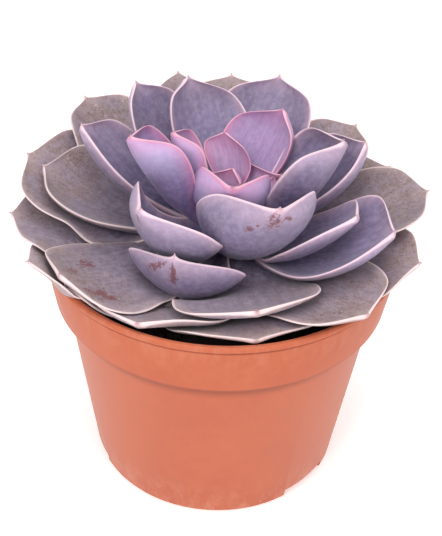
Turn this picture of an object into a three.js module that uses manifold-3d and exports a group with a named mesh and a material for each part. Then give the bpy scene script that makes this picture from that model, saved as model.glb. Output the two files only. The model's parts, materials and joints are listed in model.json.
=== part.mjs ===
// A rosette succulent growing in a plastic nursery pot. Millimetres, +Z up.
// The origin is the middle of the pot's foot, on the surface that the pot stands on.
// A turn is an angle round the upright axis, from the front (-Y) towards +X.
import * as THREE from "three";
import { mergeVertices } from "three/addons/utils/BufferGeometryUtils.js";
import Module from "manifold-3d";

const wasm = await Module();
wasm.setup();
const { degToRad, lerp } = THREE.MathUtils;
const ORIGIN = new THREE.Vector2();

// Clearance kept between pieces that touch.
const GAP = 0.3;
// Detail smaller than this is dropped from a cut.
const CRUMB = 0.1;
// Corners nearer than this are one corner.
const WELD = 0.001;

// The pot: a tapering body under a deeper collar that stands proud of it.
const POT_HEIGHT = 89;
const RIM_RADIUS = 60;
const COLLAR_HEIGHT = 20;
const COLLAR_FOOT_RADIUS = 56.9;
const COLLAR_STEP = 3.6;
const FOOT_RADIUS = 44.8;
const WALL = 1.5;
const LIP_HEIGHT = 1.8;
const LIP_OVERHANG = 0.7;
const LIP_ROUNDING = 0.6;
const FOOT_RING_WIDTH = 3;
const FOOT_RING_HEIGHT = 2.5;
const FOOT_CHAMFER = 1;
const COLLAR_CHAMFER = 0.8;
const NOTCH_WIDTH = 20;
const NOTCH_HEIGHT = 3.4;
const NOTCH_DEPTH = 7;
const NOTCH_TURNS = [48, 168, -72];
const POT_SIDES = 48;

// The potting mix, and the stump of stem that carries the leaves.
const MIX_BELOW_RIM = 12;
const MIX_CROWN = 1.5;
const MIX_CROWN_RADIUS = 20;
const STEM_RADIUS = 8;
const STEM_ROOTED = 14;
const STEM_SHOULDER = 88.5;
const STEM_TOP = 106;
const STEM_TOP_RADIUS = 4;
const STEM_TOP_ROUNDING = 3;
const STEM_SIDES = 16;

// Leaves, from the newest in the heart to the oldest against the rim. Each row holds:
// turn: which way the leaf points; reach, rise: how far out and how high its tip is; breadth:
// its width measured over the curve; bow: how deep the midrib sags under a straight line, as a
// share of its length; elbow: where along it the sag is deepest; cup: how far each half of the
// blade curls up; fold: how far each half is hinged up from the midrib; roll: how far the tip
// is twisted, with its left side up; curl: how far the tip end bends outwards; sway: how far
// the tip wanders to the side. Turn, cup, fold and roll are in degrees.
const LEAVES = [
  [150, 4.5, 111.5, 14, 0.14, 0.5, 75, 0, 0, 0, 0],
  [-25, 6.5, 109.5, 15, 0.16, 0.5, 85, 0, 0, 1, 0],
  [161.8, 13.7, 119, 17.5, 0.14, 0.5, 50, 0, 0, 0, 5.5],
  [98, 18.5, 111, 27, 0.2, 0.5, 56, 0, -24, 0, 0],
  [-100, 16.8, 125, 24, 0.1, 0.5, 85, 0, -30, 1, 0],
  [7.4, 19, 119, 38, 0.2, 0.5, 98, 0, 14, 7, 0],
  [148.7, 27, 125.5, 32, 0.14, 0.5, 50, 0, 20, 0, -5],
  [-82, 30, 127, 34, 0.1, 0.5, 85, 0, -25, 1, 0],
  [17.8, 40.5, 124, 48, 0.24, 0.5, 80, 0, 8, 4, 4],
  [-169.6, 39, 128, 34, 0.14, 0.5, 58, 0, -28, 0, 7],
  [83, 36.6, 128.5, 38, 0.14, 0.5, 92, 0, 4, 1, 0],
  [162.3, 46, 127, 36, 0.14, 0.5, 40, 0, 0, 0, -4],
  [-38, 38.3, 117, 45, 0.26, 0.55, 62, 0, 13, 3, -1],
  [-140.5, 45.8, 127, 31, 0.14, 0.5, 50, 0, -20, 0, 3],
  [101, 46, 121, 31, 0.14, 0.5, 68, 0, -10, 0, 0],
  [53, 45.5, 112, 32, 0.16, 0.5, 34, 0, -4, 0, 8],
  [-20.5, 39.5, 106, 42, 0.38, 0.7, 32, 8, -4, 0, 0],
  [-110, 51.5, 118.5, 30, 0.12, 0.5, 65, 0, -8, 0, 0],
  [60, 57, 107, 43, 0.15, 0.5, 40, 0, -14, 0, 8],
  [11.4, 55, 99, 45, 0.1, 0.6, 14, -2, -4, 0, 0],
  [-100, 62, 106, 38, 0.1, 0.5, 42, 0, 8, 0, 0],
  [179, 59, 119, 34, 0.06, 0.5, 20, 0, 0, 0, 0],
  [-50, 63, 99.5, 41, 0.09, 0.6, 6, -5, 2, 0, 0],
  [129, 59, 112, 34, 0.06, 0.5, 25, 0, 0, 0, 0],
  [-132, 69, 114, 35, 0.06, 0.5, 28, 0, 0, 0, 0],
  [-162, 60, 120, 34, 0.06, 0.5, 25, 0, 0, 0, 0],
  [99, 70, 102, 41, 0.06, 0.5, 24, 0, 0, 0, 0],
  [-105, 70, 106, 47, 0.06, 0.5, 25, 0, 11, 0, 0],
  [43, 65, 94, 42, 0.03, 0.5, 16, 0, 0, 0, 0],
  [119, 67.5, 98, 36, 0.04, 0.5, 18, 0, 0, 0, 0],
  [-17, 59, 93, 44, 0.05, 0.6, 26, 0, -6, 0, -7],
  [70, 67, 96, 40, 0.03, 0.5, 15, 0, 0, 0, 0],
  [-87, 70.5, 96, 40, 0.03, 0.5, 15, 0, 0, 0, 0],
  [11, 58.5, 90.5, 50, 0, 0.5, 10, 0, 0, 0, 0],
  [-52, 60.5, 91.5, 38, 0, 0.5, 12, 0, 0, 0, 0],
  [-63, 67.5, 96, 36, 0, 0.5, 15, 0, 0, 0, 0],
  [152, 64, 98, 36, 0.02, 0.5, 18, 0, 0, 0, 0],
  [-150, 65, 99, 36, 0.02, 0.5, 18, 0, 0, 0, 0],
  [178, 60.5, 98, 36, 0.02, 0.5, 18, 0, 0, 0, 0],
].map(([turn, reach, rise, breadth, bow, elbow, cup, fold, roll, curl, sway], index, rows) => ({
  ...{ turn, reach, rise, breadth, bow, elbow, cup, fold, roll, curl, sway },
  age: index / (rows.length - 1),
}));

// Where a leaf is widest along its length, and its width at the stem as a share of that.
const WIDEST_AT = 0.66;
const BASE_SHARE = 0.3;
const BASE_SWELL = 1.6;
const TIP_BLUNTNESS = 2.3;
// Length over which the tip is drawn out into a point, and how blunt that point is.
const POINT_LENGTH = 3.2;
const POINT_HALF_WIDTH = 0.12;
// Where along a leaf its outward curl starts, and how softly its two halves are hinged.
const CURL_FROM = 0.55;
const HINGE_SOFTNESS = 0.03;
// The smallest radius that a blade is cupped to.
const TIGHTEST_BEND = 2;
// Thickness along the midrib at the stem and at the tip, and at the margin.
const BASE_THICKNESS = 4.4;
const TIP_THICKNESS = 1.9;
const MARGIN_THICKNESS = 0.9;
const FULL_BREADTH = 34;
// Where the leaves leave the stem.
const NEWEST_LEAF_RADIUS = 1.5;
const NEWEST_LEAF_HEIGHT = 104;
const OLDEST_LEAF_HEIGHT = 85.5;
// Where a leaf's skin has its rings and, across each ring, its points.
const STATIONS = [0, 0.14, 0.28, 0.42, 0.55, 0.67, 0.78, 0.87, 0.94, 0.98];
const ACROSS = [-1, -0.6, -0.2, 0.2, 0.6, 1];

const finish = (color, roughness) => new THREE.MeshStandardMaterial({ color, roughness, metalness: 0 });
const HEART = new THREE.Color(0xb79ac4);
const OUTER = new THREE.Color(0x7d6f74);

// A geometry's triangles as a solid, and back again.
function solid(geometry) {
  const bare = geometry.index ? geometry.toNonIndexed() : geometry.clone();
  bare.deleteAttribute("normal");
  bare.deleteAttribute("uv");
  const merged = mergeVertices(bare, WELD);
  return new wasm.Manifold(
    new wasm.Mesh({
      numProp: 3,
      vertProperties: new Float32Array(merged.attributes.position.array),
      triVerts: new Uint32Array(merged.index.array),
    }),
  );
}

function geometryOf(shape) {
  const { vertProperties, triVerts } = shape.getMesh();
  return new THREE.BufferGeometry()
    .setAttribute("position", new THREE.BufferAttribute(vertProperties, 3))
    .setIndex(new THREE.BufferAttribute(triVerts, 1));
}

// The largest single body, which drops the crumbs that a cut leaves.
const largest = (shape) =>
  solid(geometryOf(shape.simplify(CRUMB)))
    .decompose()
    .sort((a, b) => b.volume() - a.volume())[0];

// A profile of [radius, height] points, turned about the upright axis.
function turned(profile, sides) {
  const points = profile.map(([radius, height]) => new THREE.Vector2(radius, height));
  return new THREE.LatheGeometry(points, sides).rotateX(Math.PI / 2);
}

// --- Pot ----------------------------------------------------------------------------------

const collarFoot = POT_HEIGHT - COLLAR_HEIGHT;
const bodyTop = COLLAR_FOOT_RADIUS - COLLAR_STEP;
const shoulder = collarFoot + COLLAR_STEP;
const potFloor = FOOT_RING_HEIGHT + WALL;

function potGeometry() {
  const shell = solid(
    turned(
      [
        [0, FOOT_RING_HEIGHT],
        [FOOT_RADIUS - FOOT_RING_WIDTH, FOOT_RING_HEIGHT],
        [FOOT_RADIUS - FOOT_RING_WIDTH, 0],
        [FOOT_RADIUS - FOOT_CHAMFER, 0],
        [FOOT_RADIUS, FOOT_CHAMFER],
        [bodyTop, collarFoot + COLLAR_CHAMFER],
        [COLLAR_FOOT_RADIUS - COLLAR_CHAMFER, collarFoot],
        [COLLAR_FOOT_RADIUS, collarFoot + COLLAR_CHAMFER],
        [RIM_RADIUS - LIP_OVERHANG, POT_HEIGHT - LIP_HEIGHT],
        [RIM_RADIUS, POT_HEIGHT - LIP_HEIGHT + LIP_ROUNDING],
        [RIM_RADIUS, POT_HEIGHT - LIP_ROUNDING],
        [RIM_RADIUS - LIP_ROUNDING, POT_HEIGHT],
        [RIM_RADIUS - LIP_OVERHANG - WALL, POT_HEIGHT],
        [COLLAR_FOOT_RADIUS - WALL, shoulder],
        [bodyTop - WALL, collarFoot],
        [FOOT_RADIUS - WALL, potFloor],
        [0, potFloor],
      ],
      POT_SIDES,
    ),
  );
  const notches = NOTCH_TURNS.map((turn) => {
    const notch = new THREE.BoxGeometry(NOTCH_WIDTH, NOTCH_DEPTH, 2 * NOTCH_HEIGHT);
    notch.translate(0, -FOOT_RADIUS, 0).rotateZ(degToRad(turn));
    return solid(notch);
  });
  return geometryOf(notches.reduce((pot, notch) => pot.subtract(notch), shell));
}

// --- Potting mix and stem --------------------------------------------------------------------

const mixTop = POT_HEIGHT - MIX_BELOW_RIM;
const stemFoot = mixTop - STEM_ROOTED;

// Inside radius of the pot within its collar, at a height.
const collarBore = (height) =>
  lerp(COLLAR_FOOT_RADIUS, RIM_RADIUS - LIP_OVERHANG, (height - shoulder) / (POT_HEIGHT - shoulder)) - WALL;

const mixGeometry = () =>
  turned(
    [
      [0, potFloor + GAP],
      [FOOT_RADIUS - WALL - GAP, potFloor + GAP],
      [bodyTop - WALL - GAP, collarFoot],
      [COLLAR_FOOT_RADIUS - WALL - GAP, shoulder],
      [collarBore(mixTop) - GAP, mixTop],
      [MIX_CROWN_RADIUS, mixTop + MIX_CROWN],
      [STEM_RADIUS + GAP, mixTop + MIX_CROWN],
      [STEM_RADIUS + GAP, stemFoot - GAP],
      [0, stemFoot - GAP],
    ],
    POT_SIDES,
  );

const stemGeometry = (grow = 0) =>
  turned(
    [
      [0, stemFoot],
      [STEM_RADIUS + grow, stemFoot],
      [STEM_RADIUS + grow, STEM_SHOULDER],
      [STEM_TOP_RADIUS + grow, STEM_TOP - STEM_TOP_ROUNDING],
      [0, STEM_TOP + grow],
    ],
    STEM_SIDES,
  );

// --- Leaves ------------------------------------------------------------------------------

// Half the blade's width at a share of its length, drawn out into a point at the tip.
function halfWidth(leaf, scale, length, share) {
  const rising = Math.min(1, share / WIDEST_AT);
  const past = Math.max(0, (share - WIDEST_AT) / (1 - WIDEST_AT));
  const swell = lerp(BASE_SHARE, 1, Math.sin((Math.PI / 2) * rising) ** BASE_SWELL);
  const left = ((1 - share) * length) / (POINT_LENGTH * scale);
  const drawn = 1 - Math.exp(-(left ** 2));
  return (leaf.breadth / 2) * swell * Math.sqrt(1 - past ** TIP_BLUNTNESS) * drawn + POINT_HALF_WIDTH;
}

// The midrib, in the plane of radius and height: it leaves the stem low and sweeps up to the
// tip, where it may curl outwards. Gives its length, and its place and direction at a share.
function midribOf(leaf) {
  const down = Math.sqrt(leaf.age);
  const base = new THREE.Vector2(
    lerp(NEWEST_LEAF_RADIUS, STEM_RADIUS, down),
    lerp(NEWEST_LEAF_HEIGHT, OLDEST_LEAF_HEIGHT, down),
  );
  const end = new THREE.Vector2(leaf.reach, leaf.rise);
  const run = end.clone().sub(base);
  const under = new THREE.Vector2(run.y, -run.x).multiplyScalar(2 * leaf.bow);
  const elbow = base.clone().addScaledVector(run, leaf.elbow).add(under);
  const towards = end.clone().sub(elbow).normalize();
  const outward = new THREE.Vector2(towards.y, -towards.x);
  end.addScaledVector(outward, -leaf.curl);
  const late = (share) => Math.max(0, share - CURL_FROM) / (1 - CURL_FROM);
  const place = (share) => {
    const fromBase = base.clone().multiplyScalar((1 - share) ** 2);
    const fromElbow = fromBase.addScaledVector(elbow, 2 * share * (1 - share));
    return fromElbow.addScaledVector(end, share ** 2).addScaledVector(outward, leaf.curl * late(share) ** 2);
  };
  const direction = (share) => {
    const early = elbow.clone().sub(base).multiplyScalar(2 * (1 - share));
    const both = early.addScaledVector(end.clone().sub(elbow), 2 * share);
    return both.addScaledVector(outward, (2 * leaf.curl * late(share)) / (1 - CURL_FROM)).normalize();
  };
  return { length: run.length(), place, direction };
}

// One closed leaf. grow swells it all over, for cutting room out of its neighbours.
function leafGeometry(leaf, grow = 0) {
  const scale = Math.min(1, leaf.breadth / FULL_BREADTH);
  const { length, place, direction } = midribOf(leaf);
  const cup = degToRad(leaf.cup);
  const rings = STATIONS.map((share) => {
    const spine = place(share);
    const along = direction(share);
    const half = halfWidth(leaf, scale, length, share);
    const thick = Math.min(scale * lerp(BASE_THICKNESS, TIP_THICKNESS, share), half);
    const margin = Math.min(scale * MARGIN_THICKNESS, half);
    const radius = Math.max(half / cup, TIGHTEST_BEND);
    const spread = (half + grow) / radius;
    const point = (q, depth) => {
      const bent = new THREE.Vector2(
        (radius + depth) * Math.sin(spread * q),
        radius - (radius + depth) * Math.cos(spread * q),
      );
      const hinge = (degToRad(leaf.fold) * q) / Math.sqrt(q ** 2 + HINGE_SOFTNESS);
      const { x: side, y: lift } = bent.rotateAround(ORIGIN, hinge - degToRad(leaf.roll) * share);
      const out = spine.x - along.y * lift;
      return new THREE.Vector3(side + leaf.sway * share ** 2, -out, spine.y + along.x * lift);
    };
    const upper = ACROSS.map((q) => point(q, -grow));
    const lower = ACROSS.map((q) => point(q, lerp(thick, margin, q * q) + grow));
    return [...upper, ...lower.reverse()];
  });
  const tip = place(1).addScaledVector(direction(1), grow);
  return closedLoft(rings, new THREE.Vector3(leaf.sway, -tip.x, tip.y)).rotateZ(degToRad(leaf.turn));
}

// Rings of equally many points joined in turn, closed by a flat end and by a point.
function closedLoft(rings, tip) {
  const count = rings[0].length;
  const corners = [];
  const triangle = (...points) => points.forEach((p) => corners.push(p.x, p.y, p.z));
  rings.slice(1).forEach((ring, i) => {
    for (let k = 0; k < count; k++) {
      const next = (k + 1) % count;
      triangle(rings[i][k], ring[next], rings[i][next]);
      triangle(rings[i][k], ring[k], ring[next]);
    }
  });
  const middle = rings[0].reduce((sum, p) => sum.add(p), new THREE.Vector3()).divideScalar(count);
  for (let k = 0; k < count; k++) {
    const next = (k + 1) % count;
    triangle(rings[0][k], rings[0][next], middle);
    triangle(rings.at(-1)[next], rings.at(-1)[k], tip);
  }
  return new THREE.BufferGeometry().setAttribute("position", new THREE.Float32BufferAttribute(corners, 3));
}

// Each leaf gives way to the stem, to the rim of the pot and to every newer leaf.
function rosette() {
  const rim = turned(
    [
      [COLLAR_FOOT_RADIUS - WALL - GAP, collarFoot],
      [RIM_RADIUS + GAP, collarFoot],
      [RIM_RADIUS + GAP, POT_HEIGHT + GAP],
      [COLLAR_FOOT_RADIUS - WALL - GAP, POT_HEIGHT + GAP],
      [COLLAR_FOOT_RADIUS - WALL - GAP, collarFoot],
    ],
    POT_SIDES,
  );
  let taken = solid(stemGeometry(GAP)).add(solid(rim));
  return LEAVES.map((leaf, index) => {
    const shape = largest(solid(leafGeometry(leaf)).subtract(taken));
    taken = taken.add(solid(leafGeometry(leaf, GAP))).add(shape);
    const colour = HEART.clone().lerp(OUTER, leaf.age);
    const mesh = new THREE.Mesh(geometryOf(shape), finish(colour, 0.6));
    mesh.name = "leaf_" + String(index + 1).padStart(2, "0");
    return mesh;
  });
}

// --- Assembly --------------------------------------------------------------------------------

function piece(name, geometry, color, roughness) {
  const mesh = new THREE.Mesh(geometry, finish(color, roughness));
  mesh.name = name;
  return mesh;
}

const group = new THREE.Group();
group.add(piece("pot", potGeometry(), 0xd0704c, 0.55));
group.add(piece("potting_mix", mixGeometry(), 0x3a2a22, 0.95));
group.add(piece("stem", stemGeometry(), 0x8a8068, 0.7));
rosette().forEach((leaf) => group.add(leaf));

export default group;
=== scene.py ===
"""A potted rosette succulent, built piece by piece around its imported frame. Metres, +Z up."""

import json
import math

import bpy
import numpy as np
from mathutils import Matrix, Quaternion, Vector


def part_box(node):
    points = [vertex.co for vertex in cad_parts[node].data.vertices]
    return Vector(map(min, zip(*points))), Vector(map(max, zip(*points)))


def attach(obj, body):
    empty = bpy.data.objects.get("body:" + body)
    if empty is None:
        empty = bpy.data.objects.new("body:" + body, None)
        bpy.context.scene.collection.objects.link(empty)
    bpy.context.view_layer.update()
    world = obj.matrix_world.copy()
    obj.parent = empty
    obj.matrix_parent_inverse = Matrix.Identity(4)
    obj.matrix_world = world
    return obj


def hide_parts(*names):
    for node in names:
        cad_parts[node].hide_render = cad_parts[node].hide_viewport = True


bl_info = {
    "name": "Potted Succulent",
    "version": (1, 0, 0),
    "blender": (4, 5, 0),
    "location": "View3D > Sidebar > Succulent",
    "description": "Builds a rosette succulent in a plastic nursery pot",
    "category": "Object",
}

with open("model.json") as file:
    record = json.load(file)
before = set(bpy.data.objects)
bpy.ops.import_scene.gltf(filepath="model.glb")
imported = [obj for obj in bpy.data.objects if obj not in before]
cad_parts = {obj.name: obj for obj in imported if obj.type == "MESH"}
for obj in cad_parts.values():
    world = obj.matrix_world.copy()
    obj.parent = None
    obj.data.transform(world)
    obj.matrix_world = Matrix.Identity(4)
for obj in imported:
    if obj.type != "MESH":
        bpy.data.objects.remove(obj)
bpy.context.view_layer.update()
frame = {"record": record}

MM = 0.001
BODY = "root"
POT_LOW, POT_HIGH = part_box("pot")
STEM_LOW, STEM_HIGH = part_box("stem")
MIX_LOW, MIX_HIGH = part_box("potting_mix")
RIM_RADIUS = (POT_HIGH.x - POT_LOW.x) / 2
SLOT_OF = {part["node"]: part["material_slot"] for part in frame["record"]["subparts"]}


def linear(red, green, blue):
    """A colour as the eye names it, 0 to 255, turned into scene-linear values."""
    shares = (value / 255 for value in (red, green, blue))
    return tuple(s / 12.92 if s <= 0.04045 else ((s + 0.055) / 1.055) ** 2.4 for s in shares)


# ---------------------------------------------------------------------------------------------
# Settings


def colour_setting(name, description, default):
    return bpy.props.FloatVectorProperty(
        name=name, description=description, default=default, subtype="COLOR", size=3, min=0, max=1
    )


def length_setting(name, description, default):
    return bpy.props.FloatProperty(
        name=name, description=description, default=default, min=0, unit="LENGTH", precision=5
    )


class PotSettings(bpy.types.PropertyGroup):
    """The nursery pot and what fills it."""

    collar_height: length_setting("Collar height", "Depth of the proud band under the lip", 0.020)
    collar_foot_radius: length_setting("Collar foot radius", "Radius of the collar's foot", 0.0569)
    collar_step: length_setting("Collar step", "How far the collar stands proud", 0.0036)
    foot_radius: length_setting("Foot radius", "Radius of the body at its foot", 0.0448)
    wall: length_setting("Wall", "Thickness of the plastic", 0.0015)
    plastic: colour_setting("Plastic", "Colour of the moulded plastic", linear(184, 88, 54))
    peat: colour_setting("Peat", "Colour of the moist potting mix", linear(52, 36, 30))


class LeafSettings(bpy.types.PropertyGroup):
    """The leaves' build and their colours from the heart outwards."""

    base_thickness: length_setting("Base thickness", "Thickness of a full leaf at the stem", 0.0044)
    tip_thickness: length_setting("Tip thickness", "Thickness of a full leaf near its tip", 0.0019)
    margin_thickness: length_setting("Margin thickness", "Thickness of a full leaf's edge", 0.0009)
    point_length: length_setting("Point length", "Length of a full leaf's drawn-out tip", 0.0032)
    heart: colour_setting("Heart", "Newest leaves", linear(180, 150, 196))
    middle: colour_setting("Middle", "Half-grown leaves", linear(152, 138, 174))
    outer: colour_setting("Outer", "Oldest leaves", linear(142, 127, 146))
    young_margin: colour_setting("Young margin", "Edge of the newest leaves", linear(216, 116, 158))
    old_margin: colour_setting("Old margin", "Edge of the oldest leaves", linear(226, 200, 194))


# ---------------------------------------------------------------------------------------------
# Shader helpers


class Graph:
    """A node tree that is written as a chain of calls, each giving back an output socket."""

    def __init__(self, tree):
        self.tree = tree

    def node(self, kind, inputs=(), **settings):
        made = self.tree.nodes.new(kind)
        for name, value in settings.items():
            setattr(made, name, value)
        for name, value in dict(inputs).items():
            self.feed(made.inputs[name], value)
        return made

    def feed(self, socket, value):
        if isinstance(value, bpy.types.NodeSocket):
            self.tree.links.new(value, socket)
        elif isinstance(value, tuple) and len(value) == 3 and len(socket.default_value) == 4:
            socket.default_value = (*value, 1)
        else:
            socket.default_value = value

    def math(self, operation, first, second):
        return self.node("ShaderNodeMath", {0: first, 1: second}, operation=operation).outputs[0]

    def plus(self, first, second):
        return self.math("ADD", first, second)

    def minus(self, first, second):
        return self.math("SUBTRACT", first, second)

    def times(self, first, second):
        return self.math("MULTIPLY", first, second)

    def span(self, value, low, high, start=0.0, end=1.0):
        """value taken from the range low..high to start..end, with soft ends."""
        inputs = {"Value": value, "From Min": low, "From Max": high, "To Min": start, "To Max": end}
        made = self.node("ShaderNodeMapRange", inputs, interpolation_type="SMOOTHSTEP")
        return made.outputs["Result"]

    def band(self, height, level, steps):
        """A soft band of heights that starts, is full, ebbs and ends at millimetre steps."""
        start, full, ebb, end = (level + step * MM for step in steps)
        return self.times(self.span(height, start, full), self.span(height, end, ebb))

    def blend(self, factor, first, second):
        """One colour laid over another; the node's colour sockets are reached by number."""
        inputs = {0: factor, 6: first, 7: second}
        return self.node("ShaderNodeMix", inputs, data_type="RGBA").outputs[2]

    def parts(self, x, y, z):
        return self.node("ShaderNodeCombineXYZ", {0: x, 1: y, 2: z}).outputs[0]

    def noise(self, vector, scale, detail=3.0, roughness=0.5):
        inputs = {"Vector": vector, "Scale": scale, "Detail": detail, "Roughness": roughness}
        return self.node("ShaderNodeTexNoise", inputs).outputs["Fac"]

    def cells(self, vector, scale):
        made = self.node("ShaderNodeTexVoronoi", {"Vector": vector, "Scale": scale})
        return made.outputs["Distance"]

    def stretch(self, vector, scale):
        return self.node("ShaderNodeMapping", {"Vector": vector, "Scale": scale}).outputs[0]

    def attribute(self, name):
        return self.node("ShaderNodeAttribute", attribute_name=name).outputs["Fac"]

    def object_place(self):
        return self.node("ShaderNodeTexCoord").outputs["Object"]

    def bump(self, height, strength, distance):
        inputs = {"Height": height, "Strength": strength, "Distance": distance}
        return self.node("ShaderNodeBump", inputs).outputs["Normal"]


def effect(name, inputs, outputs, build):
    """A shader node group, made once: inputs and outputs map a socket's name to its type."""
    made = bpy.data.node_groups.get(name)
    if made:
        return made
    made = bpy.data.node_groups.new(name, "ShaderNodeTree")
    for socket, (kind, default) in inputs.items():
        item = made.interface.new_socket(socket, in_out="INPUT", socket_type=kind)
        if default is not None:
            item.default_value = default
    for socket, kind in outputs.items():
        made.interface.new_socket(socket, in_out="OUTPUT", socket_type=kind)
    graph = Graph(made)
    given = graph.node("NodeGroupInput").outputs
    results = build(graph, {socket: given[socket] for socket in inputs})
    graph.node("NodeGroupOutput", results)
    return made


FLOAT, VECTOR = "NodeSocketFloat", "NodeSocketVector"


def mottle_effect():
    """Soft cloudy variation at two sizes, as a value round one half."""

    def build(graph, given):
        broad = graph.noise(given["Place"], given["Scale"], 2.0)
        fine = graph.noise(given["Place"], graph.times(given["Scale"], 5.0), 4.0, 0.6)
        return {"Value": graph.plus(graph.times(broad, 0.6), graph.times(fine, 0.4))}

    inputs = {"Place": (VECTOR, None), "Scale": (FLOAT, 100.0)}
    return effect("Mottle", inputs, {"Value": FLOAT}, build)


def speck_effect():
    """Small separate specks, thicker in some patches than in others."""

    def build(graph, given):
        distance = graph.cells(given["Place"], given["Scale"])
        patches = graph.noise(given["Place"], graph.times(given["Scale"], 0.12), 3.0)
        size = graph.span(patches, 0.42, 0.75, 0.05, 0.42)
        edge = graph.minus(size, distance)
        return {"Mask": graph.times(graph.span(edge, 0.0, 0.18), given["Amount"])}

    inputs = {"Place": (VECTOR, None), "Scale": (FLOAT, 900.0), "Amount": (FLOAT, 1.0)}
    return effect("Specks", inputs, {"Mask": FLOAT}, build)


def use(graph, group, inputs):
    made = graph.node("ShaderNodeGroup", node_tree=group)
    for name, value in inputs.items():
        graph.feed(made.inputs[name], value)
    return made.outputs[0]


def material(name, build):
    """A new material whose Principled BSDF takes what build returns for its sockets."""
    made = bpy.data.materials.get(name)
    if made:
        return made
    made = bpy.data.materials.new(name)
    made.use_nodes = True
    graph = Graph(made.node_tree)
    shader = made.node_tree.nodes["Principled BSDF"]
    for socket, value in build(graph).items():
        graph.feed(shader.inputs[socket], value)
    return made


WEATHERED_PLASTIC = linear(192, 100, 66)
PIGMENT = linear(176, 86, 58)
PALE_DUST = linear(226, 166, 142)
# Colour of the painted shade under the collar and in the groove below the lip.
PAINTED_SHADE = linear(128, 50, 32)
DUSTY_FOOT = 20 * MM
# Where the bands of painted shade start, are full, ebb and end, in millimetres from the collar's
# foot and from the rim.
UNDER_COLLAR = (-7.5, -2.2, 0.2, 1.4)
UNDER_LIP = (-3.1, -2.2, -1.9, -1.2)


def plastic_material(settings):
    def build(graph):
        place = graph.object_place()
        height = graph.node("ShaderNodeSeparateXYZ", {0: place}).outputs["Z"]
        collar_foot = POT_HIGH.z - settings.collar_height
        cloud = use(graph, mottle_effect(), {"Place": place, "Scale": 45.0})
        weathering = graph.span(cloud, 0.3, 0.7)
        colour = graph.blend(weathering, tuple(settings.plastic), WEATHERED_PLASTIC)
        # Grains of darker pigment, then pale dust on the collar and the foot.
        grains = graph.noise(place, 1500.0, 3.0, 0.7)
        colour = graph.blend(graph.span(grains, 0.55, 0.75, 0.0, 0.22), colour, PIGMENT)
        smears = graph.noise(graph.stretch(place, (1.0, 1.0, 0.4)), 240.0, 6.0, 0.7)
        on_foot = graph.span(height, 0.0, DUSTY_FOOT, 0.35, 0.0)
        on_collar = graph.span(height, collar_foot, POT_HIGH.z, 0.0, 0.16)
        dust = graph.times(graph.span(smears, 0.4, 0.7), graph.plus(on_foot, on_collar))
        colour = graph.blend(dust, colour, PALE_DUST)
        # Painted shade: a darker band under the collar and in the groove below the lip.
        painted_shade = graph.math(
            "MAXIMUM",
            graph.times(graph.band(height, collar_foot, UNDER_COLLAR), 0.72),
            graph.times(graph.band(height, POT_HIGH.z, UNDER_LIP), 0.45),
        )
        colour = graph.blend(painted_shade, colour, PAINTED_SHADE)
        return {
            "Base Color": colour,
            "Roughness": graph.span(cloud, 0.3, 0.7, 0.5, 0.62),
            "Specular IOR Level": 0.35,
            "Sheen Weight": 0.12,
            "Sheen Roughness": 0.35,
            "Subsurface Weight": 0.05,
            "Subsurface Radius": (0.003, 0.001, 0.0006),
            "Subsurface Scale": 1.0,
            "Normal": graph.bump(grains, 0.15, 0.00008),
        }

    return material("Terracotta plastic", build)


WET_PEAT = linear(26, 18, 16)
GRIT = linear(110, 88, 70)


def peat_material(settings):
    def build(graph):
        place = graph.object_place()
        cloud = use(graph, mottle_effect(), {"Place": place, "Scale": 220.0})
        colour = graph.blend(graph.span(cloud, 0.35, 0.65), WET_PEAT, tuple(settings.peat))
        grit = use(graph, speck_effect(), {"Place": place, "Scale": 420.0, "Amount": 0.5})
        colour = graph.blend(grit, colour, GRIT)
        crumbs = graph.noise(place, 900.0, 5.0, 0.7)
        return {
            "Base Color": colour,
            "Roughness": graph.span(cloud, 0.3, 0.7, 0.75, 0.95),
            "Normal": graph.bump(crumbs, 0.8, 0.0006),
        }

    return material("Moist potting mix", build)


CORK_SHADE = linear(92, 84, 66)
CORK = linear(140, 128, 104)


def stem_material():
    def build(graph):
        place = graph.object_place()
        cloud = use(graph, mottle_effect(), {"Place": place, "Scale": 260.0})
        colour = graph.blend(graph.span(cloud, 0.35, 0.65), CORK_SHADE, CORK)
        return {
            "Base Color": colour,
            "Roughness": graph.span(cloud, 0.3, 0.7, 0.55, 0.75),
            "Normal": graph.bump(graph.noise(place, 700.0, 4.0), 0.5, 0.0004),
        }

    return material("Corky stem", build)


def hurt_effect():
    """Ragged red-brown scabs inside the soft spots that a leaf's scar attribute marks."""

    def build(graph, given):
        torn = graph.noise(given["Place"], 620.0, 6.0, 0.75)
        torn = graph.times(graph.minus(torn, 0.5), 3.4)
        depth = graph.plus(given["Scar"], torn)
        inside = graph.span(given["Scar"], 0.02, 0.3)
        return {"Mask": graph.times(graph.span(depth, 0.3, 0.75), inside)}

    inputs = {"Place": (VECTOR, None), "Scar": (FLOAT, 0.0)}
    return effect("Scabs", inputs, {"Mask": FLOAT}, build)


WORN_SKIN = linear(146, 121, 108)
PITS = linear(98, 78, 84)
WAX = linear(204, 192, 216)
DUST_SPECKS = linear(206, 184, 172)
CLEAR_RIM = linear(246, 226, 232)
RED_POINT = linear(150, 74, 84)
SCAB = linear(118, 62, 62)
VEIN_STRETCH = (900.0, 3.0, 40.0)


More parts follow.
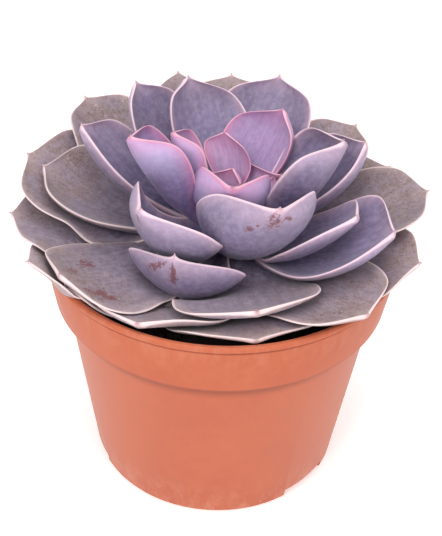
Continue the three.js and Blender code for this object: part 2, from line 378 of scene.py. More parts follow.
def flesh_colour(graph, place, along, skin):
    """A blade's colour: streaked along its veins, clouded, and deeper towards the stem, partly its
    own bluer tone and partly painted shade.
    """
    upper = graph.attribute("upper")
    tone = graph.attribute("tone")
    veins = graph.stretch(graph.parts(graph.attribute("across"), along, tone), VEIN_STRETCH)
    streak = graph.noise(veins, 1.0, 4.0, 0.6)
    cloud = use(graph, mottle_effect(), {"Place": place, "Scale": 38.0})
    colour = graph.blend(tone, skin["body"], skin["other"])
    colour = graph.blend(graph.span(streak, 0.35, 0.65, 0.3, 0.0), colour, skin["shade"])
    colour = graph.blend(graph.span(cloud, 0.36, 0.66, 0.0, 0.3), colour, skin["shade"])
    behind = graph.span(upper, 0.0, 1.0, skin["back_amount"], 0.0)
    colour = graph.blend(behind, colour, skin["back"])
    # Towards the stem the upper face deepens, partly the leaf's own bluer tone and partly painted
    # shade; the underside gets painted shade over most of its length.
    front_tone_and_shade = graph.times(graph.span(along, 0.1, 0.75, 0.8, 0.0), upper)
    back_painted_shade = graph.times(graph.span(along, 0.4, 1.0, 0.9, 0.0), graph.minus(1.0, upper))
    return graph.blend(graph.plus(front_tone_and_shade, back_painted_shade), colour, skin["shade"])


def worn_colour(graph, place, along, skin, colour):
    """Brown and pitted patches, thickest towards the tip."""
    patches = graph.span(graph.noise(place, 55.0, 5.0, 0.65), 0.36, 0.6, 0.25, 1.0)
    worn = graph.times(graph.span(along, 0.3, 0.95), patches)
    colour = graph.blend(graph.times(worn, skin["wear"]), colour, WORN_SKIN)
    pits = graph.times(graph.span(graph.noise(place, 1300.0, 4.0, 0.75), 0.5, 0.62), worn)
    return graph.blend(graph.times(pits, skin["dust"]), colour, PITS)


def margin_colour(graph, place, skin, colour):
    """A blush that fades inwards from the edge, then the pale margin and its clear rim."""
    edge = graph.attribute("margin")
    reach = graph.plus(edge, graph.times(graph.noise(place, 300.0, 3.0), 0.8 * MM))
    blush = graph.span(reach, 0.6 * MM, 5.2 * MM, skin["blush"], 0.0)
    colour = graph.blend(blush, colour, skin["margin"])
    colour = graph.blend(graph.span(reach, 0.6 * MM, 1.4 * MM, 0.9, 0.0), colour, skin["margin"])
    return graph.blend(graph.span(edge, 0.0, 0.7 * MM, 0.5, 0.0), colour, CLEAR_RIM)


def leaf_material(name, skin):
    """Waxy leaf skin in the colours and amounts that skin holds for one age of leaf."""

    def build(graph):
        place = graph.object_place()
        along = graph.attribute("along")
        colour = flesh_colour(graph, place, along, skin)
        colour = worn_colour(graph, place, along, skin, colour)
        # Fine waxy powder, rubbed off here and there, and specks of dust.
        wax = graph.span(graph.noise(place, 520.0, 5.0, 0.6), 0.35, 0.7)
        powder = graph.times(wax, skin["bloom"])
        colour = graph.blend(powder, colour, WAX)
        dusty = {"Place": place, "Scale": 1700.0, "Amount": skin["dust"]}
        colour = graph.blend(use(graph, speck_effect(), dusty), colour, DUST_SPECKS)
        colour = margin_colour(graph, place, skin, colour)
        # A reddish point, and scabs where the blade was bruised.
        colour = graph.blend(graph.span(along, 0.975, 0.997, 0.0, 0.6), colour, RED_POINT)
        hurt = use(graph, hurt_effect(), {"Place": place, "Scar": graph.attribute("scar")})
        colour = graph.blend(graph.times(hurt, 0.8), colour, SCAB)
        grain = graph.noise(place, 1800.0, 4.0, 0.6)
        bumps = graph.plus(graph.times(powder, 0.4), graph.times(grain, 0.5))
        bumps = graph.minus(bumps, graph.times(hurt, 0.6))
        return {
            "Base Color": colour,
            "Roughness": graph.span(powder, 0.0, 0.4, 0.5, 0.66),
            "Specular IOR Level": 0.4,
            "Sheen Weight": 0.15,
            "Sheen Roughness": 0.4,
            "Subsurface Weight": 0.1,
            "Subsurface Radius": (0.003, 0.0016, 0.0018),
            "Subsurface Scale": 1.0,
            "Normal": graph.bump(bumps, 0.22, 0.00025),
        }

    return material(name, build)


def leaf_materials(settings):
    """One leaf skin for each material slot of the record."""
    # Each skin's shade is a deeper tone that the streaks and clouds use; it is also laid on as
    # painted shade towards the stem.
    heart = {
        "body": tuple(settings.heart),
        "other": linear(214, 172, 206),
        "shade": linear(122, 102, 150),
        "back": linear(188, 172, 214),
        "back_amount": 0.8,
        "wear": 0.0,
        "bloom": 0.25,
        "dust": 0.0,
        "blush": 0.34,
        "margin": tuple(settings.young_margin),
    }
    middle = {
        "body": tuple(settings.middle),
        "other": linear(138, 126, 160),
        "shade": linear(84, 74, 112),
        "back": linear(146, 132, 170),
        "back_amount": 0.7,
        "wear": 0.2,
        "bloom": 0.22,
        "dust": 0.15,
        "blush": 0.3,
        "margin": linear(228, 190, 206),
    }
    outer = {
        "body": tuple(settings.outer),
        "other": linear(160, 146, 160),
        "shade": linear(72, 62, 90),
        "back": linear(134, 116, 146),
        "back_amount": 0.5,
        "wear": 0.75,
        "bloom": 0.2,
        "dust": 0.9,
        "blush": 0.22,
        "margin": tuple(settings.old_margin),
    }
    return {
        "heart_leaf": leaf_material("Heart leaf", heart),
        "middle_leaf": leaf_material("Middle leaf", middle),
        "outer_leaf": leaf_material("Outer leaf", outer),
    }


# ---------------------------------------------------------------------------------------------
# Modelling helpers


def deselect_all():
    if bpy.context.mode != "OBJECT":
        bpy.ops.object.mode_set(mode="OBJECT")
    bpy.ops.object.select_all(action="DESELECT")


def finish_piece(piece, name, node, skin, smooth_angle=None):
    """Names a piece, puts its place into its mesh, gives it its skin and its part in the frame."""
    deselect_all()
    piece.select_set(True)
    bpy.context.view_layer.objects.active = piece
    bpy.ops.object.transform_apply(location=True, rotation=True, scale=True)
    if smooth_angle is None:
        bpy.ops.object.shade_smooth()
    else:
        bpy.ops.object.shade_smooth_by_angle(angle=smooth_angle)
    piece.name = name
    piece.data.name = name
    piece.data.materials.clear()
    piece.data.materials.append(skin)
    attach(piece, BODY)
    if node:
        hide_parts(node)


def turn_up(rings, sides):
    """A ring pulled up through (radius, height) pairs and closed by a flat face at each end."""
    deselect_all()
    radius, height = rings[0]
    bpy.ops.mesh.primitive_circle_add(
        vertices=sides, radius=radius, fill_type="NOTHING", location=(0, 0, height)
    )
    piece = bpy.context.object
    bpy.ops.object.mode_set(mode="EDIT")
    bpy.ops.mesh.select_all(action="SELECT")
    bpy.ops.mesh.edge_face_add()
    bpy.ops.mesh.select_all(action="SELECT")
    for radius_next, height_next in rings[1:]:
        step = (0, 0, height_next - height)
        bpy.ops.mesh.extrude_region_move(TRANSFORM_OT_translate={"value": step})
        share = radius_next / radius
        bpy.ops.transform.resize(value=(share, share, 1), center_override=(0, 0, height_next))
        radius, height = radius_next, height_next
    bpy.ops.mesh.select_all(action="SELECT")
    bpy.ops.mesh.normals_make_consistent(inside=False)
    bpy.ops.object.mode_set(mode="OBJECT")
    return piece


def apply_modifier(piece, kind, **settings):
    deselect_all()
    piece.select_set(True)
    bpy.context.view_layer.objects.active = piece
    modifier = piece.modifiers.new(kind.title(), kind)
    for name, value in settings.items():
        setattr(modifier, name, value)
    bpy.ops.object.modifier_apply(modifier=modifier.name)


# ---------------------------------------------------------------------------------------------
# Pot

POT_SIDES = 192
NOTCH_TURNS = (48, 168, -72)
NOTCH_SIZE = (20 * MM, 7 * MM, 7.8 * MM)
FOOT_RING_WIDTH = 3 * MM
FOOT_RING_HEIGHT = 2.5 * MM
FOOT_CHAMFER = 1 * MM
LIP_OVERHANG = 0.7 * MM
COLLAR_CORNER = 0.8 * MM
EDGE_BEVEL = 0.25 * MM
BEVELLED_ANGLE = math.radians(25)
CREASE_ANGLE = math.radians(40)
# Steps inwards and down, in millimetres, that round a corner of the pot's profile.
COLLAR_FOOT_ROUNDING = ((1.1, 0), (0.5, -0.15), (0.12, -0.6), (0, -1.3))
GROOVE_UNDER_LIP = ((0.1, 2.8), (0.6, 2.2))
LIP_ROUNDING = ((0.1, 1.6), (0, 1.0), (0.25, 0.35), (0.9, 0))
INNER_LIP_ROUNDING = ((0, 0.3), (0.2, 1.2))


def rounded(radius, height, steps):
    """Profile points at steps inwards and down from a corner."""
    return [(radius - inwards * MM, height - down * MM) for inwards, down in steps]


class SUCCULENT_OT_pot(bpy.types.Operator):
    """Build the nursery pot: tapering body, proud collar, rounded lip and notched foot"""

    bl_idname = "succulent.pot"
    bl_label = "Pot"

    def execute(self, context):
        size = context.scene.succulent_pot
        height = POT_HIGH.z
        collar_foot = height - size.collar_height
        body_top = size.collar_foot_radius - size.collar_step
        shoulder = collar_foot + size.collar_step
        lip = RIM_RADIUS - LIP_OVERHANG
        rings = [
            (size.foot_radius - FOOT_RING_WIDTH, FOOT_RING_HEIGHT),
            (size.foot_radius - FOOT_RING_WIDTH, 0),
            (size.foot_radius - FOOT_CHAMFER, 0),
            (size.foot_radius, FOOT_CHAMFER),
            (body_top, collar_foot + COLLAR_CORNER),
            *rounded(size.collar_foot_radius, collar_foot, COLLAR_FOOT_ROUNDING),
            *rounded(lip, height, GROOVE_UNDER_LIP),
            *rounded(RIM_RADIUS, height, LIP_ROUNDING),
            *rounded(lip - size.wall, height, INNER_LIP_ROUNDING),
            (size.collar_foot_radius - size.wall, shoulder),
            (body_top - size.wall, collar_foot),
            (size.foot_radius - size.wall, FOOT_RING_HEIGHT + size.wall),
        ]
        piece = turn_up(rings, POT_SIDES)
        for turn in NOTCH_TURNS:
            self.cut_notch(piece, size.foot_radius, math.radians(turn))
        apply_modifier(
            piece,
            "BEVEL",
            width=EDGE_BEVEL,
            segments=2,
            limit_method="ANGLE",
            angle_limit=BEVELLED_ANGLE,
        )
        finish_piece(piece, "pot_shell", "pot", plastic_material(size), CREASE_ANGLE)
        return {"FINISHED"}

    def cut_notch(self, piece, radius, turn):
        deselect_all()
        place = (radius * math.sin(turn), -radius * math.cos(turn), 0)
        bpy.ops.mesh.primitive_cube_add(
            size=1, location=place, rotation=(0, 0, turn), scale=NOTCH_SIZE
        )
        cutter = bpy.context.object
        apply_modifier(piece, "BOOLEAN", object=cutter, operation="DIFFERENCE")
        bpy.data.objects.remove(cutter)


# ---------------------------------------------------------------------------------------------
# Potting mix and stem

BED_SIDES = 144
BED_RINGS = 30
BED_DROP = 1.5 * MM
FIT_GAP = 0.3 * MM
BED_SEED = 3
LEVEL_TOLERANCE = 0.1 * MM
FIRST_SWOLLEN = 1.05
LAST_SWOLLEN = 0.995
SWELLS = 14
SWELL_RATES = (60, 500)
SWELL_PHASES = 6.3
SWELL_HEIGHT = 0.125 * MM
SWELL_LIFT = 0.4 * MM
CRUMB_COUNT = 420
CRUMB_LIFT = 0.5 * MM
CRUMB_BORDER = 3 * MM
CRUMB_CREASE_ANGLE = math.radians(30)
# Chance ranges of a crumb: radius in millimetres, most turn in radians, stretch along each axis.
CRUMB_RADII = (0.5, 1.7)
CRUMB_TURNS = 6.28
CRUMB_STRETCHES = (0.5, 1.2)


class SUCCULENT_OT_mix(bpy.types.Operator):
    """Build the bed of potting mix and the crumbs of bark and grit that lie on it"""

    bl_idname = "succulent.mix"
    bl_label = "Potting mix"

    def execute(self, context):
        size = context.scene.succulent_pot
        skin = peat_material(size)
        edge = (MIX_HIGH.x - MIX_LOW.x) / 2
        top = MIX_HIGH.z - BED_DROP
        hole = STEM_HIGH.x + FIT_GAP
        inside = size.wall + FIT_GAP
        collar_foot = POT_HIGH.z - size.collar_height
        rings = [
            (size.foot_radius - inside, MIX_LOW.z),
            (size.collar_foot_radius - size.collar_step - inside, collar_foot),
            (size.collar_foot_radius - inside, collar_foot + size.collar_step),
            (edge, top),
        ]
        rings += [(radius, top) for radius in np.linspace(edge, hole, BED_RINGS)[1:]]
        rings += [(hole, STEM_LOW.z - FIT_GAP)]
        bed = turn_up(rings, BED_SIDES)
        rough = np.random.default_rng(BED_SEED)
        swells = [
            (Vector(rough.uniform(*SWELL_RATES, 2)), rough.uniform(0, SWELL_PHASES))
            for _ in range(SWELLS)
        ]
        for vertex in bed.data.vertices:
            place = vertex.co
            inland = hole * FIRST_SWOLLEN < place.xy.length < edge * LAST_SWOLLEN
            if inland and place.z > top - LEVEL_TOLERANCE:
                swell = sum(math.sin(place.xy.dot(rate) + phase) for rate, phase in swells)
                place.z += SWELL_HEIGHT * swell + SWELL_LIFT
        finish_piece(bed, "mix_bed", "potting_mix", skin)
        crumbs = self.crumbs(rough, hole, edge, top)
        finish_piece(crumbs, "mix_crumbs", None, skin, CRUMB_CREASE_ANGLE)
        return {"FINISHED"}

    def crumbs(self, rough, hole, edge, top):
        """Loose crumbs scattered evenly over the ring of mix round the stem."""
        nearest, furthest = hole + CRUMB_BORDER, edge - CRUMB_BORDER
        made = []
        for _ in range(CRUMB_COUNT):
            deselect_all()
            radius = math.sqrt(rough.uniform(nearest**2, furthest**2))
            turn = rough.uniform(0, 2 * math.pi)
            bpy.ops.mesh.primitive_ico_sphere_add(
                subdivisions=1,
                radius=rough.uniform(*CRUMB_RADII) * MM,
                location=(radius * math.sin(turn), -radius * math.cos(turn), top + CRUMB_LIFT),
                rotation=rough.uniform(0, CRUMB_TURNS, 3),
                scale=rough.uniform(*CRUMB_STRETCHES, 3),
            )
            made.append(bpy.context.object)
        deselect_all()
        for crumb in made:
            crumb.select_set(True)
        bpy.context.view_layer.objects.active = made[0]
        bpy.ops.object.join()
        return bpy.context.object


STEM_SIDES = 48
STEM_RINGS = 24
STEM_SHOULDER = 88 * MM
STEM_TAPER = 0.75
STEM_TAPER_POWER = 1.5
LEAF_SCAR_SHARE = 0.97


class SUCCULENT_OT_stem(bpy.types.Operator):
    """Build the short stump of stem that carries the leaves"""

    bl_idname = "succulent.stem"
    bl_label = "Stem"

    def execute(self, context):
        radius = STEM_HIGH.x
        crown = STEM_HIGH.z
        rings = []
        for number, height in enumerate(np.linspace(STEM_LOW.z, crown - 1 * MM, STEM_RINGS)):
            share = max(0.0, (height - STEM_SHOULDER) / (crown - STEM_SHOULDER))
            ridge = LEAF_SCAR_SHARE if number % 2 else 1.0
            rings.append((radius * ridge * (1 - STEM_TAPER * share**STEM_TAPER_POWER), height))
        piece = turn_up(rings, STEM_SIDES)
        finish_piece(piece, "stump", "stem", stem_material())
        return {"FINISHED"}


# ---------------------------------------------------------------------------------------------
# Leaves

# From the newest leaf to the oldest. Turn in degrees from the front towards +X; the tip's
# reach from the axis, its rise and the leaf's breadth in millimetres; bow and elbow as shares
# of the length; cup and fold of the section and its roll at the tip in degrees; how far the tip
# curls outwards and sways sideways in millimetres.
LEAVES = (
    # turn, reach, rise, breadth, bow, elbow, cup, fold, roll, curl, sway
    (150, 4.5, 111.5, 14, 0.14, 0.5, 75, 0, 0, 0, 0),
    (-25, 6.5, 109.5, 15, 0.16, 0.5, 85, 0, 0, 1, 0),
    (161.8, 13.7, 119, 17.5, 0.14, 0.5, 50, 0, 0, 0, 5.5),
    (98, 18.5, 111, 27, 0.2, 0.5, 56, 0, -24, 0, 0),
    (-100, 16.8, 125, 24, 0.1, 0.5, 85, 0, -30, 1, 0),
    (7.4, 19, 119, 38, 0.2, 0.5, 98, 0, 14, 7, 0),
    (148.7, 27, 125.5, 32, 0.14, 0.5, 50, 0, 20, 0, -5),
    (-82, 30, 127, 34, 0.1, 0.5, 85, 0, -25, 1, 0),
    (17.8, 40.5, 124, 48, 0.24, 0.5, 80, 0, 8, 4, 4),
    (-169.6, 39, 128, 34, 0.14, 0.5, 58, 0, -28, 0, 7),
    (83, 36.6, 128.5, 38, 0.14, 0.5, 92, 0, 4, 1, 0),
    (162.3, 46, 127, 36, 0.14, 0.5, 40, 0, 0, 0, -4),
    (-38, 38.3, 117, 45, 0.26, 0.55, 62, 0, 13, 3, -1),
    (-140.5, 45.8, 127, 31, 0.14, 0.5, 50, 0, -20, 0, 3),
    (101, 46, 121, 31, 0.14, 0.5, 68, 0, -10, 0, 0),
    (53, 45.5, 112, 32, 0.16, 0.5, 34, 0, -4, 0, 8),
    (-20.5, 39.5, 106, 42, 0.38, 0.7, 32, 8, -4, 0, 0),
    (-110, 51.5, 118.5, 30, 0.12, 0.5, 65, 0, -8, 0, 0),
    (60, 57, 107, 43, 0.15, 0.5, 40, 0, -14, 0, 8),
    (11.4, 55, 99, 45, 0.1, 0.6, 14, -2, -4, 0, 0),
    (-100, 62, 106, 38, 0.1, 0.5, 42, 0, 8, 0, 0),
    (179, 59, 119, 34, 0.06, 0.5, 20, 0, 0, 0, 0),
    (-50, 63, 99.5, 41, 0.09, 0.6, 6, -5, 2, 0, 0),
    (129, 59, 112, 34, 0.06, 0.5, 25, 0, 0, 0, 0),
    (-132, 69, 114, 35, 0.06, 0.5, 28, 0, 0, 0, 0),
    (-162, 60, 120, 34, 0.06, 0.5, 25, 0, 0, 0, 0),
    (99, 70, 102, 41, 0.06, 0.5, 24, 0, 0, 0, 0),
    (-105, 70, 106, 47, 0.06, 0.5, 25, 0, 11, 0, 0),
    (43, 65, 94, 42, 0.03, 0.5, 16, 0, 0, 0, 0),
    (119, 67.5, 98, 36, 0.04, 0.5, 18, 0, 0, 0, 0),
    (-17, 59, 93, 44, 0.05, 0.6, 26, 0, -6, 0, -7),
    (70, 67, 96, 40, 0.03, 0.5, 15, 0, 0, 0, 0),
    (-87, 70.5, 96, 40, 0.03, 0.5, 15, 0, 0, 0, 0),
    (11, 58.5, 90.5, 50, 0, 0.5, 10, 0, 0, 0, 0),
    (-52, 60.5, 91.5, 38, 0, 0.5, 12, 0, 0, 0, 0),
    (-63, 67.5, 96, 36, 0, 0.5, 15, 0, 0, 0, 0),
    (152, 64, 98, 36, 0.02, 0.5, 18, 0, 0, 0, 0),
    (-150, 65, 99, 36, 0.02, 0.5, 18, 0, 0, 0, 0),
    (178, 60.5, 98, 36, 0.02, 0.5, 18, 0, 0, 0, 0),
)
# Where the newest and the oldest leaf leave the stem.
NEWEST_RADIUS = 1.5 * MM
CROWN_HEIGHT = 104 * MM
OLDEST_HEIGHT = 85.5 * MM
# The blade's outline and curl.
WIDEST_AT = 0.66
BASE_SHARE = 0.3
BASE_SWELL = 1.6
TIP_BLUNTNESS = 2.3
POINT_HALF_WIDTH = 0.12 * MM
CURL_FROM = 0.55
# The blade's section. A leaf narrower than the full breadth is thinner in proportion.
FULL_BREADTH = 34 * MM
HINGE_SOFTNESS = 0.03
STOUTEST_BLADE = 1.3
STOUTEST_EDGE = 0.9
EDGE_SQUARENESS = 10
BELLY_POWER = 0.8
# The blade's slight unevenness.
RIPPLE_SEED = 100
RIPPLES = 5
RIPPLE_HEIGHT = 0.07 * MM
RIPPLE_RATES_ALONG = (2, 9)
RIPPLE_RATES_ACROSS = (-3, 3)
RIPPLE_PHASES = (0, 6)
# What the leaf's material reads: the last leaf with the heart's flush, and the margin's share
# of the length at the tip.
LAST_FLUSHED = 8
TIP_MARGIN = 0.6
# The skin's grid.
AROUND = 44
ALONG = 46
TIP_CROWDING = 0.55
SEAM_WELD = 0.001 * MM
# How older leaves give way to the newer ones that lie on them.
FINE_GRID = 140
FIRST_SETTLED = 16
PRESSED_FROM = 0.2
MOST_PRESSED = 6 * MM
WIDENINGS = 2
SOFTENINGS = 6
# Where a leaf was bruised: leaf number, place along and across it, and the spot's length and
# breadth as shares of the leaf's.
SCARS = (
    (9, 0.93, -0.05, 0.08, 0.24),
    (9, 0.86, -0.25, 0.07, 0.1),
    (9, 0.94, 0.3, 0.05, 0.16),
    (9, 0.96, -0.3, 0.04, 0.3),
    (17, 0.9, 0.0, 0.2, 0.14),
    (17, 0.9, -0.45, 0.12, 0.22),
    (13, 0.95, 0.02, 0.1, 0.12),
    (14, 0.68, 0.1, 0.1, 0.14),
    (18, 0.62, 0.25, 0.09, 0.12),
    (23, 0.7, -0.35, 0.1, 0.2),
    (23, 0.8, 0.55, 0.14, 0.3),
    (23, 0.86, -0.2, 0.08, 0.18),
    (4, 0.9, 0.2, 0.12, 0.3),
    (15, 0.82, -0.3, 0.1, 0.16),
)


def mix(first, second, share):
    return first + (second - first) * share


class Leaf:
    """One leaf's shape, as points of its closed skin."""

    def __init__(self, number, row, settings):
        turn, reach, rise, breadth, bow, elbow, cup, fold, roll, curl, sway = row
        self.number = number
        self.age = (number - 1) / (len(LEAVES) - 1)
        self.settings = settings
        self.turn = math.radians(turn)
        self.breadth = breadth * MM
        self.scale = min(1.0, self.breadth / FULL_BREADTH)
        self.cup = math.radians(cup)
        self.fold = math.radians(fold)
        self.roll = math.radians(roll)
        self.curl = curl * MM
        self.sway = sway * MM
        self.random = np.random.default_rng(RIPPLE_SEED + number)
        down = math.sqrt(self.age)
        foot = mix(NEWEST_RADIUS, STEM_HIGH.x, down), mix(CROWN_HEIGHT, OLDEST_HEIGHT, down)
        start = np.array(foot)
        tip = np.array([reach, rise]) * MM
        run = tip - start
        bend = start + elbow * run + 2 * bow * np.array([run[1], -run[0]])
        towards = (tip - bend) / np.linalg.norm(tip - bend)
        self.outward = np.array([towards[1], -towards[0]])
        self.curve = (start, bend, tip - self.curl * self.outward)
        self.length = np.linalg.norm(run)
        self.point = settings.point_length * self.scale

    def spine(self, t):
        """Midrib points and directions at shares t of the length, its last part curled outwards."""
        start, bend, end = self.curve
        t = t[:, None]
        late = np.clip((t - CURL_FROM) / (1 - CURL_FROM), 0, 1)
        place = (1 - t) ** 2 * start + 2 * t * (1 - t) * bend + t**2 * end
        place = place + self.curl * late**2 * self.outward
        along = 2 * (1 - t) * (bend - start) + 2 * t * (end - bend)
        along = along + 2 * self.curl * late / (1 - CURL_FROM) * self.outward
        return place, along / np.linalg.norm(along, axis=1)[:, None]

    def half_width(self, t):
        """Half the blade's width along the leaf, drawn out into a point at the tip."""
        swell = np.sin(np.pi / 2 * np.clip(t / WIDEST_AT, 0, 1)) ** BASE_SWELL
        past = np.clip((t - WIDEST_AT) / (1 - WIDEST_AT), 0, 1)
        drawn = 1 - np.exp(-(((1 - t) * self.length / self.point) ** 2))
        outline = mix(BASE_SHARE, 1.0, swell) * np.sqrt(1 - past**TIP_BLUNTNESS) * drawn
        return self.breadth / 2 * outline + POINT_HALF_WIDTH

    def points(self, around, along):
        """Skin points and what the leaf's material reads there."""
        u = np.linspace(0, 1, along + 1)
        t = mix(u, np.sin(u * np.pi / 2), TIP_CROWDING)
        phi = np.linspace(0, 2 * np.pi, around + 1)
        q = -np.cos(phi)[None, :]
        below = (phi > np.pi)[None, :]
        spine, direction = self.spine(t)
        half = self.half_width(t)[:, None]
        t = t[:, None]
        thick = self.scale * mix(self.settings.base_thickness, self.settings.tip_thickness, t)
        thick = np.minimum(thick, half * STOUTEST_BLADE)
        edge = np.minimum(self.settings.margin_thickness * self.scale, half * STOUTEST_EDGE)
        round_off = np.sqrt(np.clip(1 - np.abs(q) ** EDGE_SQUARENESS, 0, 1))
        belly = (thick - edge) * np.clip(1 - q**2, 0, 1) ** BELLY_POWER
        depth = np.where(below, edge / 2 * (1 + round_off) + belly, edge / 2 * (1 - round_off))
        depth = depth + self.ripple(t, q)
        radius = half / self.cup
        angle = self.cup * q
        side = (radius + depth) * np.sin(angle)
        lift = radius - (radius + depth) * np.cos(angle)
        tilt = self.fold * q / np.sqrt(q**2 + HINGE_SOFTNESS) - self.roll * t
        cos, sin = np.cos(tilt), np.sin(tilt)
        side, lift = side * cos - lift * sin, side * sin + lift * cos
        out = spine[:, :1] - direction[:, 1:] * lift
        up = spine[:, 1:] + direction[:, :1] * lift
        side = side + self.sway * t**2
        x = side * math.cos(self.turn) + out * math.sin(self.turn)
        y = side * math.sin(self.turn) - out * math.cos(self.turn)
        places = np.stack([x, y, up], axis=-1)
        margin = np.minimum(half * (1 - np.abs(q)), (1 - t) * self.length * TIP_MARGIN)
        across = np.broadcast_to(q, margin.shape)
        lengthwise = np.broadcast_to(t, margin.shape)
        upper = np.broadcast_to(np.where(below, 0.0, 1.0), margin.shape)
        return places, {
            "margin": margin,
            "along": lengthwise,
            "across": across * half,
            "upper": upper,
            "tone": np.full(margin.shape, self.tone()),
            "scar": self.scar(lengthwise, across),
        }

    def tone(self):
        """Share of the second body colour: most in the newest leaves, by chance in the others."""
        if self.number <= LAST_FLUSHED:
            return 1 - (self.number - 1) / LAST_FLUSHED
        return self.random.uniform(0, 1)

    def ripple(self, share, q):
        """Shallow unevenness of the blade, none at its base and tip."""
        height = 0
        for _ in range(RIPPLES):
            rate_along = self.random.uniform(*RIPPLE_RATES_ALONG)
            rate_across = self.random.uniform(*RIPPLE_RATES_ACROSS)
            phase = self.random.uniform(*RIPPLE_PHASES)
            height = height + np.sin(rate_along * share * 2 + rate_across * q + phase)
        return RIPPLE_HEIGHT * self.scale * height * np.sin(np.pi * np.clip(share, 0, 1))

    def scar(self, along, across):
        """How deep in a bruise each point lies, 0 to 1."""
        strength = np.zeros(along.shape)
        for number, at, side, long, broad in SCARS:
            if number == self.number:
                distance = np.hypot((along - at) / long, (across - side) / broad)
                strength = np.maximum(strength, np.clip(1 - distance, 0, 1))
        return strength


class Ceiling:
    """The underside of the leaves made so far, as a height over each square cell of the ground."""

    # A cell's side, the number of the cell on the axis, and the room kept between two leaves.
    CELL = 0.8 * MM
    MIDDLE = 110
    GAP = 0.2 * MM

    def __init__(self):
        self.height = np.full((2 * self.MIDDLE, 2 * self.MIDDLE), np.inf)

    def cells(self, places):
        index = np.round(places[..., :2] / self.CELL).astype(int) + self.MIDDLE
        return index[..., 0], index[..., 1]

    def add(self, places):
        np.minimum.at(self.height, self.cells(places), places[..., 2])

    def excess(self, places):
        """How far points stand above the ceiling, 0 where they clear it."""
        return np.maximum(places[..., 2] + self.GAP - self.height[self.cells(places)], 0)


def neighbours(grid):
    """A grid and its copies moved one step each way."""
    return [np.roll(grid, shift, axis) for axis in (0, 1) for shift in (-1, 0, 1)]


def pressing(leaf, ceiling, places, along):
    """How far each point of a leaf's skin is pushed down, smoothed over the skin."""
    if leaf.number < FIRST_SETTLED:
        return np.zeros(along.shape)
    press = ceiling.excess(places) * np.clip((along - PRESSED_FROM) / PRESSED_FROM, 0, 1)
    press = np.minimum(np.maximum(press, press[:, ::-1]), MOST_PRESSED)
    for _ in range(WIDENINGS):
        press = np.max(neighbours(press), axis=0)
    for _ in range(SOFTENINGS):
        press = np.mean(neighbours(press), axis=0)
    return np.maximum(press, press[:, ::-1])


def settled(leaf, ceiling):
    """A leaf's skin, pressed down where newer leaves lie on it. The ceiling then takes it in."""
    places, values = leaf.points(AROUND, ALONG)
    press = pressing(leaf, ceiling, places, values["along"])
    places[..., 2] -= press
    fine, _ = leaf.points(FINE_GRID, FINE_GRID)
    rows = np.linspace(0, ALONG, FINE_GRID + 1).round().astype(int)
    columns = np.linspace(0, AROUND, FINE_GRID + 1).round().astype(int)
    fine[..., 2] -= press[rows][:, columns]
    ceiling.add(fine)
    return places, values


class SUCCULENT_OT_leaves(bpy.types.Operator):
    """Build every leaf of the rosette, from the heart outwards"""

    bl_idname = "succulent.leaves"
    bl_label = "Leaves"

    def execute(self, context):
        settings = context.scene.succulent_leaf
        skins = leaf_materials(settings)
        ceiling = Ceiling()
        for number, row in enumerate(LEAVES, start=1):
            node = f"leaf_{number:02d}"
            piece = self.blade(*settled(Leaf(number, row, settings), ceiling))
            finish_piece(piece, f"blade_{number:02d}", node, skins[SLOT_OF[node]])
        return {"FINISHED"}

    def blade(self, places, values):
        """A grid rolled into the leaf's skin, then closed along its seam and at both ends."""
        deselect_all()
        bpy.ops.mesh.primitive_grid_add(x_subdivisions=AROUND, y_subdivisions=ALONG, size=1)
        piece = bpy.context.object
        mesh = piece.data
        mesh.vertices.foreach_set("co", places.reshape(-1))
        for name, value in values.items():
            attribute = mesh.attributes.new(name, "FLOAT", "POINT")
            attribute.data.foreach_set("value", value.reshape(-1).astype(np.float32))
        mesh.update()
        bpy.ops.object.mode_set(mode="EDIT")
        bpy.ops.mesh.select_all(action="SELECT")
        bpy.ops.mesh.remove_doubles(threshold=SEAM_WELD)
        bpy.ops.mesh.select_all(action="DESELECT")
        bpy.ops.mesh.select_non_manifold()
        bpy.ops.mesh.edge_face_add()
        bpy.ops.mesh.select_all(action="SELECT")
        bpy.ops.mesh.normals_make_consistent(inside=False)
        bpy.ops.object.mode_set(mode="OBJECT")
        return piece


# ---------------------------------------------------------------------------------------------
# Stage

CAMERA_PLACE = Vector((0.0, -0.2765, 0.2785))
CAMERA_DOWN = math.radians(36.51)
CAMERA_TILT = math.radians(2.29)
CAMERA_LENS = 67.1
CAMERA_NEAR = 10 * MM
FLOOR_SIZE = 6
FLOOR_COLOUR = (0.92, 0.92, 0.92, 1)
FLOOR_ROUGHNESS = 0.9
FLOOR_GLOW = 0.35
ROOM_LIGHT = 0.65
WHITE = (1, 1, 1, 1)
LIT_POINT = Vector((0, 0, 0.09))
# Each lamp's place, size and power.
LAMPS = (
    ((-0.3, -0.55, 0.7), 0.35, 2.7),
    ((0.4, -0.5, 0.65), 0.6, 1.5),
    ((0.0, 0.0, 0.9), 0.5, 2.1),
)


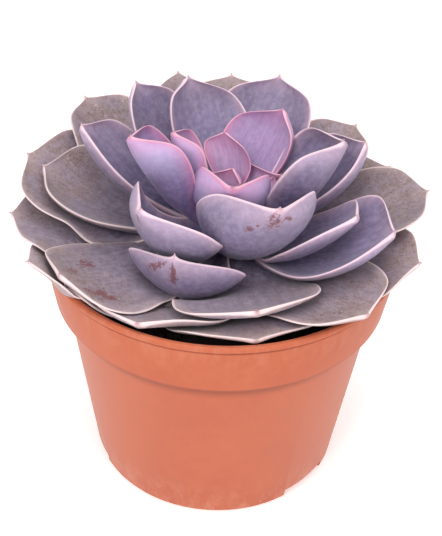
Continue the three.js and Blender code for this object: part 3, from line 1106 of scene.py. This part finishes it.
class SUCCULENT_OT_stage(bpy.types.Operator):
    """Set out the pale floor, the soft lights and the camera"""

    bl_idname = "succulent.stage"
    bl_label = "Stage"

    def execute(self, context):
        self.floor()
        self.lights(context)
        self.camera(context)
        return {"FINISHED"}

    def floor(self):
        deselect_all()
        bpy.ops.mesh.primitive_plane_add(size=FLOOR_SIZE)
        floor = bpy.context.object
        floor.name = "floor"
        pale = bpy.data.materials.new("Pale floor")
        pale.use_nodes = True
        shader = pale.node_tree.nodes["Principled BSDF"]
        shader.inputs["Base Color"].default_value = FLOOR_COLOUR
        shader.inputs["Roughness"].default_value = FLOOR_ROUGHNESS
        shader.inputs["Emission Color"].default_value = WHITE
        shader.inputs["Emission Strength"].default_value = FLOOR_GLOW
        floor.data.materials.append(pale)

    def lights(self, context):
        scene = context.scene
        scene.view_settings.view_transform = "Standard"
        world = bpy.data.worlds.new("Soft room")
        world.use_nodes = True
        background = world.node_tree.nodes["Background"]
        background.inputs["Color"].default_value = WHITE
        background.inputs["Strength"].default_value = ROOM_LIGHT
        scene.world = world
        for place, size, power in LAMPS:
            self.area(place, size, power)

    def area(self, place, size, power):
        deselect_all()
        bpy.ops.object.light_add(type="AREA", location=place)
        lamp = bpy.context.object
        lamp.data.size = size
        lamp.data.energy = power
        aim = LIT_POINT - Vector(place)
        lamp.rotation_mode = "QUATERNION"
        lamp.rotation_quaternion = aim.to_track_quat("-Z", "Y")

    def camera(self, context):
        deselect_all()
        bpy.ops.object.camera_add(location=CAMERA_PLACE)
        camera = bpy.context.object
        camera.data.lens = CAMERA_LENS
        camera.data.clip_start = CAMERA_NEAR
        look = Vector((0, math.cos(CAMERA_DOWN), -math.sin(CAMERA_DOWN)))
        camera.rotation_mode = "QUATERNION"
        level = look.to_track_quat("-Z", "Y")
        camera.rotation_quaternion = level @ Quaternion((0, 0, 1), CAMERA_TILT)
        context.scene.camera = camera


# ---------------------------------------------------------------------------------------------
# Panel and registration

OPERATORS = (
    SUCCULENT_OT_pot,
    SUCCULENT_OT_mix,
    SUCCULENT_OT_stem,
    SUCCULENT_OT_leaves,
    SUCCULENT_OT_stage,
)


class SUCCULENT_PT_panel(bpy.types.Panel):
    """Sizes, colours and the buttons that build each piece"""

    bl_label = "Potted Succulent"
    bl_idname = "SUCCULENT_PT_panel"
    bl_space_type = "VIEW_3D"
    bl_region_type = "UI"
    bl_category = "Succulent"

    def draw(self, context):
        for settings in (context.scene.succulent_pot, context.scene.succulent_leaf):
            box = self.layout.box()
            for name in settings.bl_rna.properties.keys():
                if name not in ("rna_type", "name"):
                    box.prop(settings, name)
        for operator in OPERATORS:
            self.layout.operator(operator.bl_idname)


CLASSES = (PotSettings, LeafSettings, *OPERATORS, SUCCULENT_PT_panel)


def register():
    for each in CLASSES:
        bpy.utils.register_class(each)
    bpy.types.Scene.succulent_pot = bpy.props.PointerProperty(type=PotSettings)
    bpy.types.Scene.succulent_leaf = bpy.props.PointerProperty(type=LeafSettings)


def unregister():
    del bpy.types.Scene.succulent_leaf
    del bpy.types.Scene.succulent_pot
    for each in reversed(CLASSES):
        bpy.utils.unregister_class(each)


def main():
    register()
    bpy.ops.succulent.pot()
    bpy.ops.succulent.mix()
    bpy.ops.succulent.stem()
    bpy.ops.succulent.leaves()
    bpy.ops.succulent.stage()


if __name__ == "__main__":
    main()
